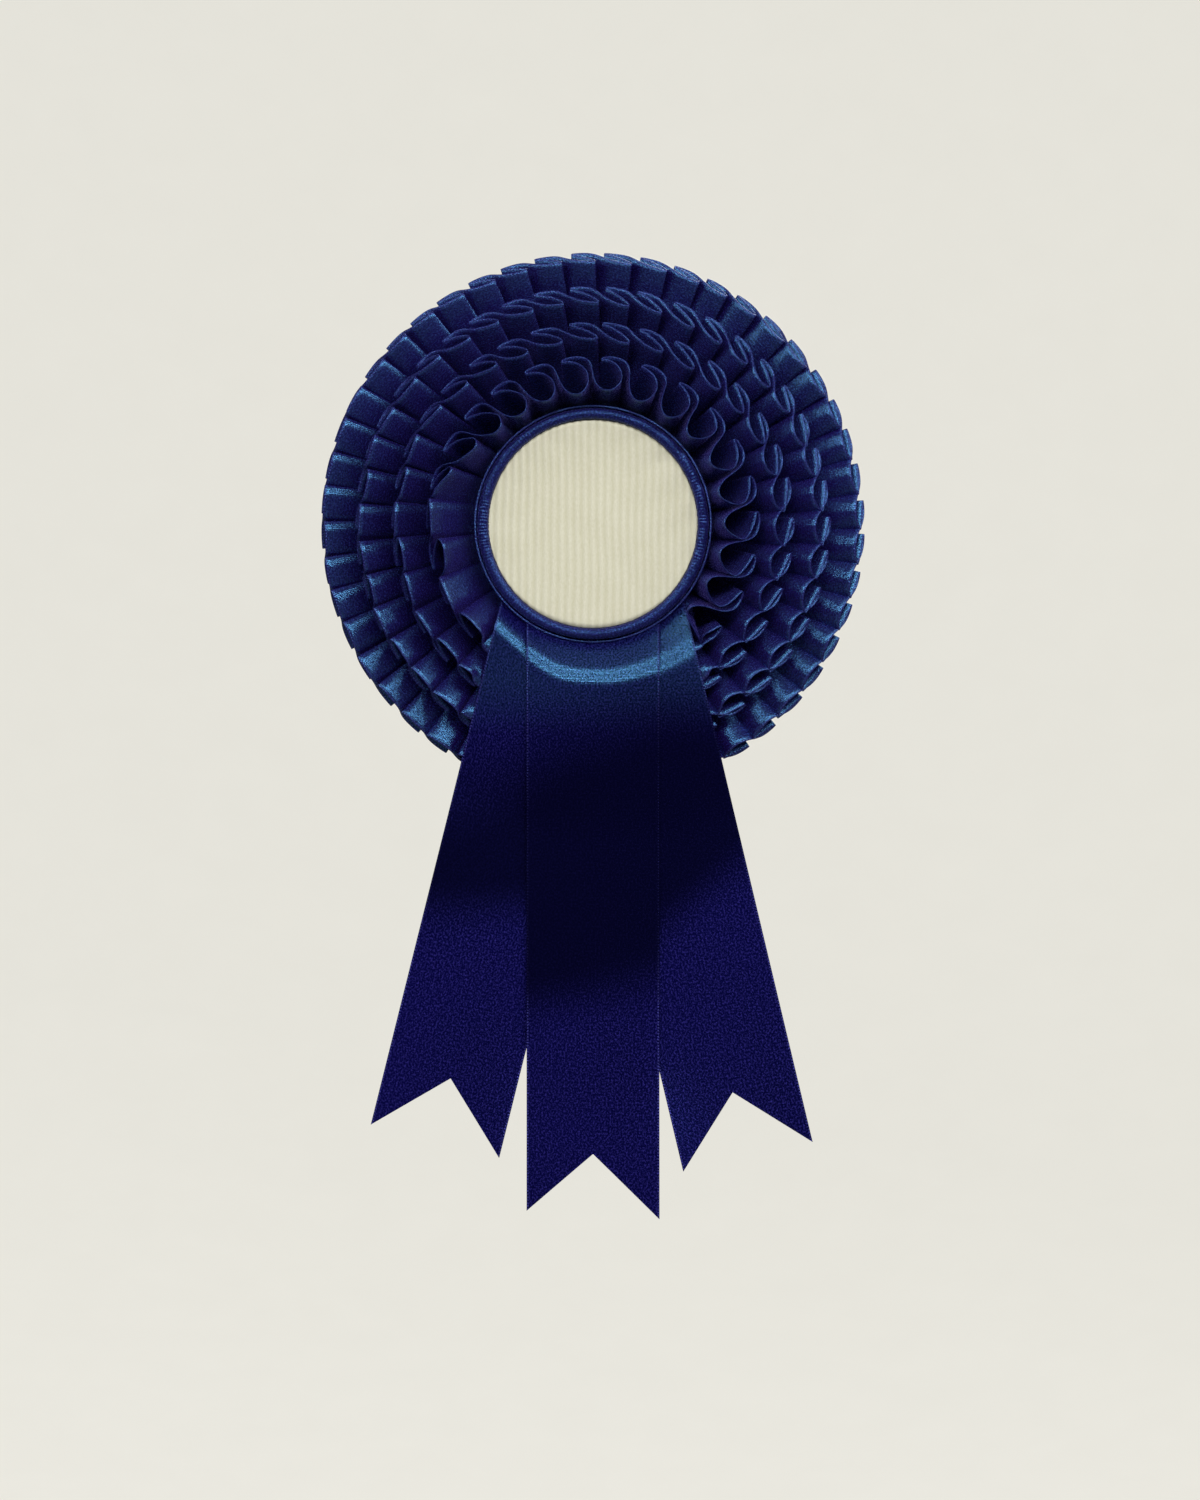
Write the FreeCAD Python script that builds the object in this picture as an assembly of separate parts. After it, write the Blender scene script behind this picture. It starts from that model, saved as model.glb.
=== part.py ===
import FreeCAD, Part
import math
import os
from collections import namedtuple

from FreeCAD import Vector

# Award rosette: four tiers of pleated ribbon round a plain centre, three swallow-tail
# ribbons below, and a bar pin on the back.
#
# Millimetres. +Z is up and +X is to the right as the rosette is looked at. It faces -Y.
# The origin is the centre of the pin bar's rear face, where the garment lies.
# "Depth" is how far something lies in front of that face, so y = -depth.
# "Radius" is measured from the Y axis, which runs through the rosette's centre.

# Card discs behind the pleats
BAR_THICKNESS = 0.8
BACK_CARD_THICKNESS = 1.0
BACK_CARD_RADIUS = 57.0
BASE_CARD_THICKNESS = 1.2
BASE_CARD_RADIUS = 60.0
CARD_REAR = BAR_THICKNESS
BASE_REAR = CARD_REAR + BACK_CARD_THICKNESS
BASE_FRONT = BASE_REAR + BASE_CARD_THICKNESS

# Pleated tiers, outermost first. Each is a ribbon stitched together along its inner edge,
# which lies on the base card. Its pleats open towards the outer edge, where they have a
# rear and a front layer. Both edges are given as radius and depth.
Tier = namedtuple("Tier", "name inner_radius rear_edge front_edge")
TIERS = [
    Tier("pleat_tier_1", 54.0, (78.0, 8.0), (75.5, 13.0)),
    Tier("pleat_tier_2", 45.5, (68.0, 14.0), (63.4, 18.8)),
    Tier("pleat_tier_3", 37.2, (57.6, 17.5), (52.4, 22.0)),
    Tier("pleat_tier_4", 30.5, (47.6, 20.5), (37.7, 26.5)),
]
STITCHED_THICKNESS = 1.2
THREAD_WIDTH = 0.7
THREAD_CLEAR = 0.2

# Wire staples
STAPLE_WIRE = 0.5
STAPLE_CROWN = 8.0
STAPLES_PER_TIER = 6
STAPLE_INSET = 0.9
TIER_STAPLE_END = BASE_REAR + 0.4

# Tail ribbons. The side tails and the centre tail share one curved surface, each a layer
# further forward, so that they can lie on one another.
Tail = namedtuple("Tail", "name tilt root_x left_length right_length notch_length layer")
TAIL_WIDTH = 38.0
TAILS = [
    Tail("left", 14.0, -1.2, 182.0, 182.3, 163.6, 0),
    Tail("right", -13.4, 1.2, 186.0, 186.4, 167.3, 1),
    Tail("centre", 0.0, 0.0, 196.6, 198.9, 180.4, 2),
]
TAIL_THICKNESS = 0.4
LAYER_PITCH = 0.6
HEAD_TOP = 10.0
HEAD_RADIUS = 33.0
HEAD_DEPTH = 14.0
TAIL_TOP = 39.0
CREST_CORNER = (43.2, 22.3)
FREE_START = 86.0
FREE_DEPTH = 14.6
CLIMB_RADIUS = 33.6
ROOT_BEND = 2.0
CREST_BEND = 7.0
FREE_BEND = 60.0
SURFACE_INNER = 5.0
SURFACE_OUTER = 215.0
BED_GAP = 0.25
BED_MARGIN = 2.5
BED_FRONT = 45.0

# Tail staples, through the three tail heads
TAIL_STAPLE_X = 7.0
TAIL_STAPLE_Z = -18.0
TAIL_STAPLE_END = 8.0
HEADS_FRONT = HEAD_DEPTH + 2 * LAYER_PITCH + TAIL_THICKNESS

# Centre of the rosette
SPACER_RADIUS = 26.0
HEAD_RECESS_TOP = -4.5
HEAD_RECESS_CLEAR = 0.05
BACKING_REAR = HEADS_FRONT + STAPLE_WIRE + 0.05
BACKING_THICKNESS = 1.2
CENTRE_RADIUS = 29.8
CENTRE_CARD_THICKNESS = 0.4
RIM_RADIUS = 31.5
RIM_WIRE = 1.6
RIM_DEPTH = 17.9
PIPING_RADIUS = 33.7
PIPING_WIRE = 0.35
PIPING_DEPTH = 17.0

# Bar pin
BAR_LENGTH = 35.0
BAR_WIDTH = 6.0
BAR_CORNER = 2.0
PIVOT_X = -14.6
PIVOT_HEIGHT = 3.0
EAR_HALF_LENGTH = 1.6
EAR_THICKNESS = 0.6
EAR_GAP = 1.8
PIVOT_RADIUS = 0.5
PIVOT_CLEARANCE = 0.05
PIVOT_HEAD_RADIUS = 0.9
PIVOT_HEAD_THICKNESS = 0.4
EYE_RADIUS = 1.2
EYE_WIDTH = 1.6
NEEDLE_RADIUS = 0.4
NEEDLE_TIP_RADIUS = 0.08
NEEDLE_TAPER_START = 13.0
NEEDLE_TIP_X = 16.4
HOUSING_LENGTH = 3.6
HOUSING_RADIUS = 2.2
HOUSING_BORE = 1.6
CATCH_RADIUS = 1.55
CATCH_BORE = 0.7
CATCH_END_X = 19.2
CATCH_SLOT = 1.2
CATCH_END_CLEAR = 0.05
CATCH_TAB_LENGTH = 1.4
CATCH_TAB_INNER = 1.2
CATCH_TAB_OUTER = 3.6
CATCH_TAB_THICKNESS = 0.9
CATCH_TAB_ANGLE = -45.0

# Countersunk tubular rivets that hold the bar to the cards
CARD_RIVET_X = 8.0
CARD_RIVET_RADIUS = 1.0
CARD_RIVET_SINK_RADIUS = 1.6
CARD_RIVET_SINK_DEPTH = 0.6
CARD_RIVET_HEAD_RADIUS = 2.0
CARD_RIVET_HEAD_THICKNESS = 0.6

FORWARD = Vector(0, -1, 0)
ALONG_X = Vector(1, 0, 0)
ALONG_Y = Vector(0, 1, 0)
ALONG_Z = Vector(0, 0, 1)
CENTRE = Vector(0, 0, 0)


def at(radius, depth):
    """A point of a profile in the half plane that is revolved about the Y axis."""
    return Vector(radius, -depth, 0)


def turned(edges):
    """The solid swept by a closed profile of edges turned once about the Y axis."""
    face = Part.Face(Part.Wire(Part.__sortEdges__(edges)))
    return face.revolve(CENTRE, ALONG_Y, 360)


def turned_outline(points):
    corners = [at(*p) for p in points]
    return turned([Part.makeLine(a, b) for a, b in zip(corners, corners[1:] + corners[:1])])


def disc(radius, rear, thickness):
    return Part.makeCylinder(radius, thickness, Vector(0, -rear, 0), FORWARD)


def block(x_range, y_range, z_range):
    size = [high - low for low, high in (x_range, y_range, z_range)]
    return Part.makeBox(*size, Vector(x_range[0], y_range[0], z_range[0]))


def tail_surface():
    """Edges of the curve, from the hidden heads over the crest to the free ends, that is
    the lowest tail's rear face. Each corner of the path is an arc."""
    path = [
        at(SURFACE_INNER, HEAD_DEPTH),
        at(CLIMB_RADIUS, HEAD_DEPTH),
        at(*CREST_CORNER),
        at(FREE_START, FREE_DEPTH),
        at(SURFACE_OUTER, FREE_DEPTH),
    ]
    edges = []
    start = path[0]
    for corner, after, bend in zip(path[1:], path[2:], (ROOT_BEND, CREST_BEND, FREE_BEND)):
        incoming = (corner - start).normalize()
        outgoing = (after - corner).normalize()
        turn = incoming.getAngle(outgoing)
        reach = bend * math.tan(turn / 2)
        first = corner - incoming * reach
        last = corner + outgoing * reach
        inward = (outgoing - incoming).normalize()
        middle = corner + inward * (bend / math.cos(turn / 2) - bend)
        edges.append(Part.makeLine(start, first))
        edges.append(Part.Arc(first, middle, last).toShape())
        start = last
    edges.append(Part.makeLine(start, path[-1]))
    return edges


def surface_layer(rear_offset, front_offset=None):
    """The space between the tail surface moved forward by rear_offset and by front_offset,
    or the flat plane at BED_FRONT."""
    rear = [e.translated(FORWARD * rear_offset) for e in tail_surface()]
    inner_rear = at(SURFACE_INNER, HEAD_DEPTH + rear_offset)
    outer_rear = at(SURFACE_OUTER, FREE_DEPTH + rear_offset)
    if front_offset is None:
        inner_front = at(SURFACE_INNER, BED_FRONT)
        outer_front = at(SURFACE_OUTER, BED_FRONT)
        front = [Part.makeLine(inner_front, outer_front)]
    else:
        inner_front = at(SURFACE_INNER, HEAD_DEPTH + front_offset)
        outer_front = at(SURFACE_OUTER, FREE_DEPTH + front_offset)
        front = [e.translated(FORWARD * front_offset) for e in tail_surface()]
    ends = [Part.makeLine(inner_rear, inner_front), Part.makeLine(outer_rear, outer_front)]
    return turned(rear + front + ends)


def tail_prism(tail, top, bottom=None, margin=0.0):
    """The space in front of the cards inside a tail's outline, from top down to bottom or
    to its notched end. Lengths run down the tail from the rosette's centre."""
    half = TAIL_WIDTH / 2 + margin
    if bottom is None:
        lower = [(half, tail.right_length), (0, tail.notch_length), (-half, tail.left_length)]
    else:
        lower = [(half, bottom), (-half, bottom)]
    tilt = math.radians(tail.tilt)
    corners = []
    for across, along in [(-half, top), (half, top), *lower]:
        x = tail.root_x + across * math.cos(tilt) - along * math.sin(tilt)
        z = -across * math.sin(tilt) - along * math.cos(tilt)
        corners.append(Vector(x, -BASE_FRONT, z))
    face = Part.Face(Part.makePolygon(corners + corners[:1]))
    return face.extrude(FORWARD * (BED_FRONT - BASE_FRONT))


def tail_layer(tail):
    rear = tail.layer * LAYER_PITCH
    return surface_layer(rear, rear + TAIL_THICKNESS)


def tail_body(tail):
    """The length of a tail that hangs and can be lifted."""
    return tail_layer(tail).common(tail_prism(tail, TAIL_TOP))


def tail_head(tail):
    """The top end of a tail, hidden under the centre and stapled there."""
    head = tail_layer(tail).common(tail_prism(tail, HEAD_TOP, CLIMB_RADIUS))
    return head.common(disc(HEAD_RADIUS, 0, BED_FRONT))


def tail_bed():
    """The space the tails take, with a margin: the pleats are pressed flat out of it."""
    front_space = surface_layer(-BED_GAP)
    prisms = [tail_prism(t, HEAD_TOP, t.notch_length, BED_MARGIN) for t in TAILS]
    return front_space.common(prisms[0].fuse(prisms[1:]))


def tier_ring(tier):
    rear_inner = (tier.inner_radius, BASE_FRONT)
    front_inner = (tier.inner_radius, BASE_FRONT + STITCHED_THICKNESS)
    return turned_outline([rear_inner, tier.rear_edge, tier.front_edge, front_inner])


def gather_thread(tier):
    """The thread that draws a tier's pleats together, a ring inside its inner edge."""
    rear = BASE_FRONT + THREAD_CLEAR
    front = rear + THREAD_WIDTH
    inner = tier.inner_radius - THREAD_WIDTH
    outer = tier.inner_radius
    return turned_outline([(inner, rear), (outer, rear), (outer, front), (inner, front)])


def staple(crown_rear, leg_end, crown=STAPLE_CROWN):
    """A staple with its crown along X at the origin's height, its legs going back to
    leg_end."""
    half = crown / 2
    front = crown_rear + STAPLE_WIRE
    wire = (-STAPLE_WIRE / 2, STAPLE_WIRE / 2)
    bar = block((-half, half), (-front, -crown_rear), wire)
    left = block((-half, -half + STAPLE_WIRE), (-crown_rear, -leg_end), wire)
    right = block((half - STAPLE_WIRE, half), (-crown_rear, -leg_end), wire)
    return bar.fuse([left, right]).removeSplitter()


def tier_staples(tier):
    """Staples round a tier's inner edge, each with its crown on the pleats' front."""
    radius = tier.inner_radius + STAPLE_INSET
    front_radius, front_depth = tier.front_edge
    stitched_front = BASE_FRONT + STITCHED_THICKNESS
    slope = (front_depth - stitched_front) / (front_radius - tier.inner_radius)
    crown_rear = stitched_front + slope * STAPLE_INSET
    staples = []
    for i in range(STAPLES_PER_TIER):
        one = staple(crown_rear, TIER_STAPLE_END)
        one.translate(Vector(0, 0, radius))
        one.rotate(CENTRE, ALONG_Y, 360 * i / STAPLES_PER_TIER)
        staples.append(one)
    return staples


def tail_staples():
    staples = [staple(HEADS_FRONT, TAIL_STAPLE_END) for side in (-1, 1)]
    for side, one in zip((-1, 1), staples):
        one.translate(Vector(side * TAIL_STAPLE_X, 0, TAIL_STAPLE_Z))
    return staples


def card_rivets():
    rivets = []
    for side in (-1, 1):
        place = Vector(side * CARD_RIVET_X, 0, 0)
        sunk = Part.makeCone(
            CARD_RIVET_SINK_RADIUS, CARD_RIVET_RADIUS, CARD_RIVET_SINK_DEPTH, place, FORWARD
        )
        shank = Part.makeCylinder(CARD_RIVET_RADIUS, BASE_FRONT, place, FORWARD)
        head_place = place + FORWARD * BASE_FRONT
        head = Part.makeCylinder(
            CARD_RIVET_HEAD_RADIUS, CARD_RIVET_HEAD_THICKNESS, head_place, FORWARD
        )
        rivets.append(shank.fuse([sunk, head]).removeSplitter())
    return rivets


def foam_spacer(cutters):
    """The foam pad that carries the centre, recessed below for the tail heads."""
    pad = disc(SPACER_RADIUS, BASE_FRONT, BACKING_REAR - BASE_FRONT)
    recess = block(
        (-SPACER_RADIUS, SPACER_RADIUS),
        (-BACKING_REAR, -HEAD_DEPTH + HEAD_RECESS_CLEAR),
        (-SPACER_RADIUS, HEAD_RECESS_TOP),
    )
    return pad.cut([recess, *cutters])


def hinge_rivet():
    half = EAR_GAP / 2 + EAR_THICKNESS
    pivot = Vector(PIVOT_X, PIVOT_HEIGHT, 0)
    shank = Part.makeCylinder(PIVOT_RADIUS, 2 * half, pivot - ALONG_Z * half, ALONG_Z)
    upper = Part.makeCylinder(
        PIVOT_HEAD_RADIUS, PIVOT_HEAD_THICKNESS, pivot + ALONG_Z * half, ALONG_Z
    )
    lower = Part.makeCylinder(
        PIVOT_HEAD_RADIUS, PIVOT_HEAD_THICKNESS, pivot - ALONG_Z * half, -ALONG_Z
    )
    return shank.fuse([upper, lower]).removeSplitter()


def hinge_ear(inner_z):
    """One of the two upright ears that hold the needle's rivet."""
    lug = block(
        (PIVOT_X - EAR_HALF_LENGTH, PIVOT_X + EAR_HALF_LENGTH),
        (-BAR_THICKNESS, PIVOT_HEIGHT),
        (inner_z, inner_z + EAR_THICKNESS),
    )
    crown = Part.makeCylinder(
        EAR_HALF_LENGTH, EAR_THICKNESS, Vector(PIVOT_X, PIVOT_HEIGHT, inner_z), ALONG_Z
    )
    return lug.fuse(crown)


def catch_slot():
    """The slot that the needle leaves the catch by, open to the rear."""
    return block(
        (BAR_LENGTH / 2 - HOUSING_LENGTH - 1, CATCH_END_X + 1),
        (PIVOT_HEIGHT, PIVOT_HEIGHT + 2 * HOUSING_RADIUS),
        (-CATCH_SLOT / 2, CATCH_SLOT / 2),
    )


def catch_housing():
    """The fixed half of the catch: a bored block with a round top."""
    start = BAR_LENGTH / 2 - HOUSING_LENGTH
    axis_start = Vector(start, PIVOT_HEIGHT, 0)
    foot = block(
        (start, BAR_LENGTH / 2),
        (-BAR_THICKNESS, PIVOT_HEIGHT),
        (-HOUSING_RADIUS, HOUSING_RADIUS),
    )
    barrel = Part.makeCylinder(HOUSING_RADIUS, HOUSING_LENGTH, axis_start, ALONG_X)
    bore = Part.makeCylinder(HOUSING_BORE, HOUSING_LENGTH, axis_start, ALONG_X)
    return foot.fuse(barrel).cut([bore, catch_slot()])


def pin_bar(cutters):
    half_length = BAR_LENGTH / 2
    half_width = BAR_WIDTH / 2
    plate = block((-half_length, half_length), (-BAR_THICKNESS, 0), (-half_width, half_width))
    upright = [
        e for e in plate.Edges if abs(e.tangentAt(e.FirstParameter).dot(ALONG_Y)) > 0.99
    ]
    plate = plate.makeFillet(BAR_CORNER, upright)
    window = block(
        (PIVOT_X - EAR_HALF_LENGTH, PIVOT_X + EAR_HALF_LENGTH),
        (-BAR_THICKNESS, 0),
        (-EAR_GAP / 2, EAR_GAP / 2),
    )
    ears = [hinge_ear(EAR_GAP / 2), hinge_ear(-EAR_GAP / 2 - EAR_THICKNESS)]
    return plate.cut(window).fuse([*ears, catch_housing()]).cut(cutters).removeSplitter()


def pin_needle():
    pivot = Vector(PIVOT_X, PIVOT_HEIGHT, 0)
    eye_start = pivot - ALONG_Z * (EYE_WIDTH / 2)
    eye = Part.makeCylinder(EYE_RADIUS, EYE_WIDTH, eye_start, ALONG_Z)
    hole = Part.makeCylinder(PIVOT_RADIUS + PIVOT_CLEARANCE, EYE_WIDTH, eye_start, ALONG_Z)
    shaft = Part.makeCylinder(NEEDLE_RADIUS, NEEDLE_TAPER_START - PIVOT_X, pivot, ALONG_X)
    taper = Part.makeCone(
        NEEDLE_RADIUS,
        NEEDLE_TIP_RADIUS,
        NEEDLE_TIP_X - NEEDLE_TAPER_START,
        Vector(NEEDLE_TAPER_START, PIVOT_HEIGHT, 0),
        ALONG_X,
    )
    return eye.fuse([shaft, taper]).cut(hole).removeSplitter()


def pin_catch():
    """The turning half of the catch: a slotted sleeve with a thumb tab."""
    start = BAR_LENGTH / 2 - HOUSING_LENGTH + CATCH_END_CLEAR
    axis_start = Vector(start, PIVOT_HEIGHT, 0)
    length = CATCH_END_X - start
    sleeve = Part.makeCylinder(CATCH_RADIUS, length, axis_start, ALONG_X)
    bore = Part.makeCylinder(CATCH_BORE, length, axis_start, ALONG_X)
    tab = block(
        (CATCH_END_X - CATCH_TAB_LENGTH, CATCH_END_X),
        (PIVOT_HEIGHT + CATCH_TAB_INNER, PIVOT_HEIGHT + CATCH_TAB_OUTER),
        (-CATCH_TAB_THICKNESS / 2, CATCH_TAB_THICKNESS / 2),
    )
    tab.rotate(axis_start, ALONG_X, CATCH_TAB_ANGLE)
    return sleeve.fuse(tab).cut([bore, catch_slot()]).removeSplitter()


def centre_pieces():
    card_rear = BACKING_REAR + BACKING_THICKNESS
    return {
        "centre_backing": disc(CENTRE_RADIUS, BACKING_REAR, BACKING_THICKNESS),
        "centre_card": disc(CENTRE_RADIUS, card_rear, CENTRE_CARD_THICKNESS),
        "centre_rim": Part.makeTorus(RIM_RADIUS, RIM_WIRE, Vector(0, -RIM_DEPTH, 0), ALONG_Y),
        "rim_piping": Part.makeTorus(
            PIPING_RADIUS, PIPING_WIRE, Vector(0, -PIPING_DEPTH, 0), ALONG_Y
        ),
    }


def build():
    """All the pieces by node name. Staples and rivets are cut out of what they pierce."""
    staples_in_tiers = {t.name: tier_staples(t) for t in TIERS}
    all_tier_staples = [s for group in staples_in_tiers.values() for s in group]
    staples_in_tails = tail_staples()
    rivets = card_rivets()
    pivot = hinge_rivet()
    bed = tail_bed()

    pieces = {
        "back_card": disc(BACK_CARD_RADIUS, CARD_REAR, BACK_CARD_THICKNESS).cut(rivets),
        "base_card": disc(BASE_CARD_RADIUS, BASE_REAR, BASE_CARD_THICKNESS).cut(
            rivets + all_tier_staples
        ),
        "foam_spacer": foam_spacer(rivets + staples_in_tails),
        "tier_staples": Part.makeCompound(all_tier_staples),
        "tail_staples": Part.makeCompound(staples_in_tails),
        "card_rivets": Part.makeCompound(rivets),
        "pin_bar": pin_bar([pivot, *rivets]),
        "pin_hinge_rivet": pivot,
        "pin_needle": pin_needle(),
        "pin_catch": pin_catch(),
    }
    pieces.update(centre_pieces())
    for number, tier in enumerate(TIERS, 1):
        pieces[tier.name] = tier_ring(tier).cut([bed, *staples_in_tiers[tier.name]])
        pieces[f"gather_thread_{number}"] = gather_thread(tier)
    for tail in TAILS:
        pieces[f"tail_head_{tail.name}"] = tail_head(tail).cut(staples_in_tails)
        pieces[f"tail_{tail.name}"] = tail_body(tail)
    return pieces


os.makedirs("parts", exist_ok=True)
for name, shape in build().items():
    shape.exportStep(f"parts/{name}.step")
    print(name, len(shape.Solids), "solids", round(shape.Volume, 2), "mm3", shape.isValid())
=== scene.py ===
import math
from collections import namedtuple

import bpy
import numpy as np
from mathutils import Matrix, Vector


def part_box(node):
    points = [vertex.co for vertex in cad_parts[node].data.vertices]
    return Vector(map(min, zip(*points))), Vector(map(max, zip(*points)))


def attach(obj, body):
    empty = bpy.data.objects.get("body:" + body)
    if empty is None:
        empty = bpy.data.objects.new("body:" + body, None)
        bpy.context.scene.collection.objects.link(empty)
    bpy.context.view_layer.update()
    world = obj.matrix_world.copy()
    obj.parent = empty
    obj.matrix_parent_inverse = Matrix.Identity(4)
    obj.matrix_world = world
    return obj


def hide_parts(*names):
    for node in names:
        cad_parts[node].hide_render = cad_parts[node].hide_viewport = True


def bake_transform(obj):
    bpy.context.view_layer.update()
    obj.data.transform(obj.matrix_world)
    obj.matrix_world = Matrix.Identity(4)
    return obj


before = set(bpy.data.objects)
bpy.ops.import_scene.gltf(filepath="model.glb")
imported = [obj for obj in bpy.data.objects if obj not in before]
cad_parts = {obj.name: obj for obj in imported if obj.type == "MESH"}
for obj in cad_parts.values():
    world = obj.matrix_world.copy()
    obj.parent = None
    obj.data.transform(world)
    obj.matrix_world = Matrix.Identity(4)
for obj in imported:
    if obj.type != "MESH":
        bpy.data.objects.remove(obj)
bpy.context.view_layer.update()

# Lengths below are in millimetres. Meshes are turned into metres as they are made.
# Depth is how far something lies in front of the pin bar's face, so y = -depth.
# Radius is measured from the Y axis, which runs through the rosette's centre.
MM = 0.001

# Pleated tiers, outermost first: each edge is given as radius and depth.
Tier = namedtuple("Tier", "name pleats inner_radius rear_edge front_edge roundness seed")
TIERS = [
    Tier("pleat_tier_1", 48, 54.0, (78.0, 8.0), (75.5, 13.0), 0.0, 11),
    Tier("pleat_tier_2", 42, 45.5, (68.0, 14.0), (63.4, 18.8), 0.0, 12),
    Tier("pleat_tier_3", 34, 37.2, (57.6, 17.5), (52.4, 22.0), 0.1, 13),
    Tier("pleat_tier_4", 26, 30.5, (47.6, 20.5), (37.7, 26.5), 1.0, 14),
]
BASE_FRONT = 3.0
STITCHED_THICKNESS = 1.2

# How finely a tier is divided: rows across it, and points to each control point along it.
ROWS = 16
SAMPLES = 4

# Satin, whose colours are as seen on a screen
SATIN_THICKNESS = 0.2
RIB_PITCH = 0.42
WARP_PITCH = 0.25
STITCH_PITCH = 0.85
RIB_DEPTH = 0.02
GRAIN_COLOUR = (38, 32, 108)
STITCH_COLOUR = (76, 76, 150)
# Painted shade for the satin's cut edges
CUT_EDGE_SHADE_COLOUR = (20, 18, 74)
HIGHLIGHT_COLOUR = (102, 188, 223)
VEIL_COLOUR = (142, 130, 255)

# One pleat along the ribbon's outer edge, from the hidden fold at the back to the next:
# how far round, in pleats, and how far from the rear layer towards the front one.
OPEN_PLEAT = [
    (0.30, 0.05), (0.36, -0.02), (0.60, -0.02), (0.88, 0.02), (1.06, 0.18), (1.22, 0.42),
    (1.45, 0.72), (1.70, 0.91), (1.92, 1.02), (2.08, 1.03), (2.15, 0.95), (2.10, 0.83),
    (1.85, 0.52), (1.52, 0.19),
]
ARCHED_PLEAT = [
    (0.26, 0.07), (0.31, 0.00), (0.56, -0.01), (0.80, 0.08), (1.00, 0.36), (1.16, 0.70),
    (1.34, 0.95), (1.56, 1.06), (1.80, 0.98), (2.00, 0.74), (2.14, 0.48), (2.10, 0.41),
    (1.80, 0.28), (1.46, 0.15),
]
FLAT_PLEAT = [
    (0.36, 0.06), (0.38, 0.00), (0.60, -0.01), (0.88, 0.03), (1.05, 0.26), (1.14, 0.60),
    (1.24, 0.86), (1.48, 0.98), (1.80, 1.05), (1.97, 0.98), (2.10, 0.78), (2.04, 0.66),
    (1.84, 0.38), (1.56, 0.12),
]
ROUND_PLEAT = [
    (0.18, 0.06), (0.28, -0.03), (0.58, -0.05), (0.84, 0.00), (0.98, 0.18), (1.00, 0.50),
    (1.09, 0.84), (1.32, 1.04), (1.58, 1.02), (1.78, 0.82), (1.84, 0.55), (1.75, 0.28),
    (1.56, 0.11), (1.33, 0.06),
]

# How much of each kind of pleat stands at each clock angle, in degrees from the top.
# The rest is open, or round in the innermost tier.
ARCHED_SHARE = [(0, 0.0), (35, 0.25), (80, 1.0), (185, 1.0), (215, 0.0), (360, 0.0)]
FLAT_SHARE = [(0, 0.0), (185, 0.0), (215, 1.0), (290, 1.0), (340, 0.15), (360, 0.0)]

# How much a round pleat loses of its share of the arched kind.
ROUND_LOSS = 0.45

# How pleats differ, as shares of a pleat's width or height: in a slow swell round the tier,
# and by chance.
PLEAT_MIDDLE = 1.3
FULLNESS_SWELL = 0.06
FULLNESS_CHANCE = 0.07
TILT_CHANCE = 0.05
WIDTH_CHANCE = 0.05
RISE_CHANCE = 0.015
SHIFT_CHANCE = 0.03

# How far the ribbon bellies out between its edges, and how much more a pleat swings to the
# side at its stitched edge.
BELLY = 0.9
INNER_SWING = 0.18

# How much of its lean towards the centre a pleat's front edge has at each clock angle. With
# little lean its mouth is hidden behind it. The innermost tier opens up sooner. The lean
# changes a little from pleat to pleat.
LEAN_SHARE = [(0, 1.0), (185, 1.0), (235, 0.35), (295, 0.3), (335, 1.0), (360, 1.0)]
INNERMOST_LEAN_SHARE = [(0, 1.0), (185, 1.0), (225, 0.25), (282, 0.2), (312, 1.0), (360, 1.0)]
LEAN_CHANGE = 0.22
LEAN_CHANGE_RATE = 2.4

# Tails, as on the frame: their surface climbs over the innermost tier and hangs free.
# Below the tiers each has a band of painted shade, down to an end that rises with x by a slope.
# One that lies on another is held down to held_z, which is lower for the one underneath, so
# that neither runs into what is held above it.
Tail = namedtuple(
    "Tail",
    "name tilt root_x left_length right_length notch_length layer held_z hollow_end hollow_slope",
)
TAIL_WIDTH = 38.0
TAIL_COLUMNS = 41
HEAD_ROWS = 40
UPPER_ROWS = 110
LOWER_ROWS = 26
NOTCH_MARGIN = 14
TAILS = [
    Tail("left", 14.0, -1.2, 182.0, 182.3, 163.6, 0, None, -96.0, 0.0),
    Tail("right", -13.4, 1.2, 186.0, 186.4, 167.3, 1, -36.6, -122.0, 0.8),
    Tail("centre", 0.0, 0.0, 196.6, 198.9, 180.4, 2, -35.3, -127.0, 0.25),
]
LAYER_PITCH = 0.6
LOWEST_LAYER = 0.2
HEAD_TOP = 10.0
HEAD_EDGE_RADIUS = 33.7
CUT_EDGE_ANGLE = math.radians(50)

# The surface that the tails share, by radius and depth: level where they are held, over a
# crest, then down to where they hang free. The crest runs askew: further out by an offset
# and a slant to the right, and further in at the left end.
HEAD_DEPTH = 14.0
CLIMB_RADIUS = 32.6
CREST_CORNER = (43.2, 22.3)
CREST_OFFSET = 0.5
CREST_SLANT = 0.05
CREST_BLEND = (CLIMB_RADIUS - 1, CLIMB_RADIUS + 11)
LEFT_CREST_DROP = 5.0
LEFT_CREST_SPAN = (-8, -27)
FREE_START = 86.0
FREE_DEPTH = 14.6
SURFACE_OUTER = 215.0
BENDS = (2.0, 11.0, 60.0)

# How a tail moves off that surface: waves where it hangs free, a cup across it, and at its
# end a twist and curling edges. Spans are lengths along the tail.
WAVE_SPAN = (58, 125)
SLOW_WAVE = 1.1
CROSS_WAVE = 0.45
CUP_SPAN = (40, 60)
CUP = -0.28
CURL_SPAN = (138, 182)
TWIST_CURL = 0.9
EDGE_CURL = 1.3
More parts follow.
